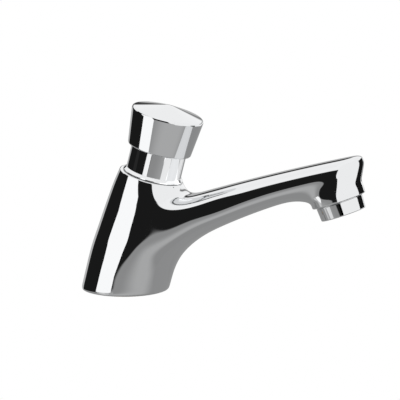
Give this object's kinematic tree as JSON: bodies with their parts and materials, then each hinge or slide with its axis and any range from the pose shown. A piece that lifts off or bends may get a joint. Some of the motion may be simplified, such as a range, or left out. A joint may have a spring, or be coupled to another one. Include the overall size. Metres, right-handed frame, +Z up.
{
  "type": "push timed tap",
  "caption": "Leaning deck-mounted basin tap with a flared push button, a rising spout and an aerator; pressing the button opens a spring-closed timed valve.",
  "frame": {"origin": "middle of the tap's foot, on the deck face, on the shank's axis", "axes": "+Z up from the deck, +X towards the spout, +Y to the tap's left as it faces the user"},
  "size_m": [0.158, 0.0478, 0.1506],
  "materials": {
    "chrome_plated_brass": "polished chrome plating",
    "brass": "machined",
    "stainless_steel": "drawn and turned",
    "rubber": "matt",
    "acetal": "moulded, satin"
  },
  "bodies": {
    "tap": {"tap_body": "chrome_plated_brass", "head_sleeve": "chrome_plated_brass", "head_gasket": "rubber", "guide_bush": "acetal", "stem_seal": "rubber", "bush_circlip": "stainless_steel", "timing_cylinder": "acetal", "cylinder_seal": "rubber", "return_spring": "stainless_steel", "seat_carrier": "brass", "carrier_seal": "rubber", "inlet_shank": "brass", "shank_seal": "rubber", "inlet_filter": "stainless_steel", "base_gasket": "rubber", "clamp_gasket": "rubber", "clamp_washer": "stainless_steel", "back_nut": "brass", "aerator_housing": "chrome_plated_brass", "aerator_gasket": "rubber", "aerator_insert": "acetal", "aerator_screen": "stainless_steel"},
    "plunger": {"push_button": "chrome_plated_brass", "lock_nut": "brass", "stem": "stainless_steel", "piston": "acetal", "piston_seal": "rubber", "piston_clip": "stainless_steel", "valve_holder": "brass", "valve_washer": "rubber", "valve_nut": "brass"}
  },
  "joints": [
    {"name": "button_push", "type": "slide", "parent": "tap", "child": "plunger", "axis": [-0.2504, 0, -0.9681], "range_m": [0, 0.01], "stiffness_N_per_m": 1500, "springref_m": -0.01, "deforming": ["return_spring"]}
  ]
}
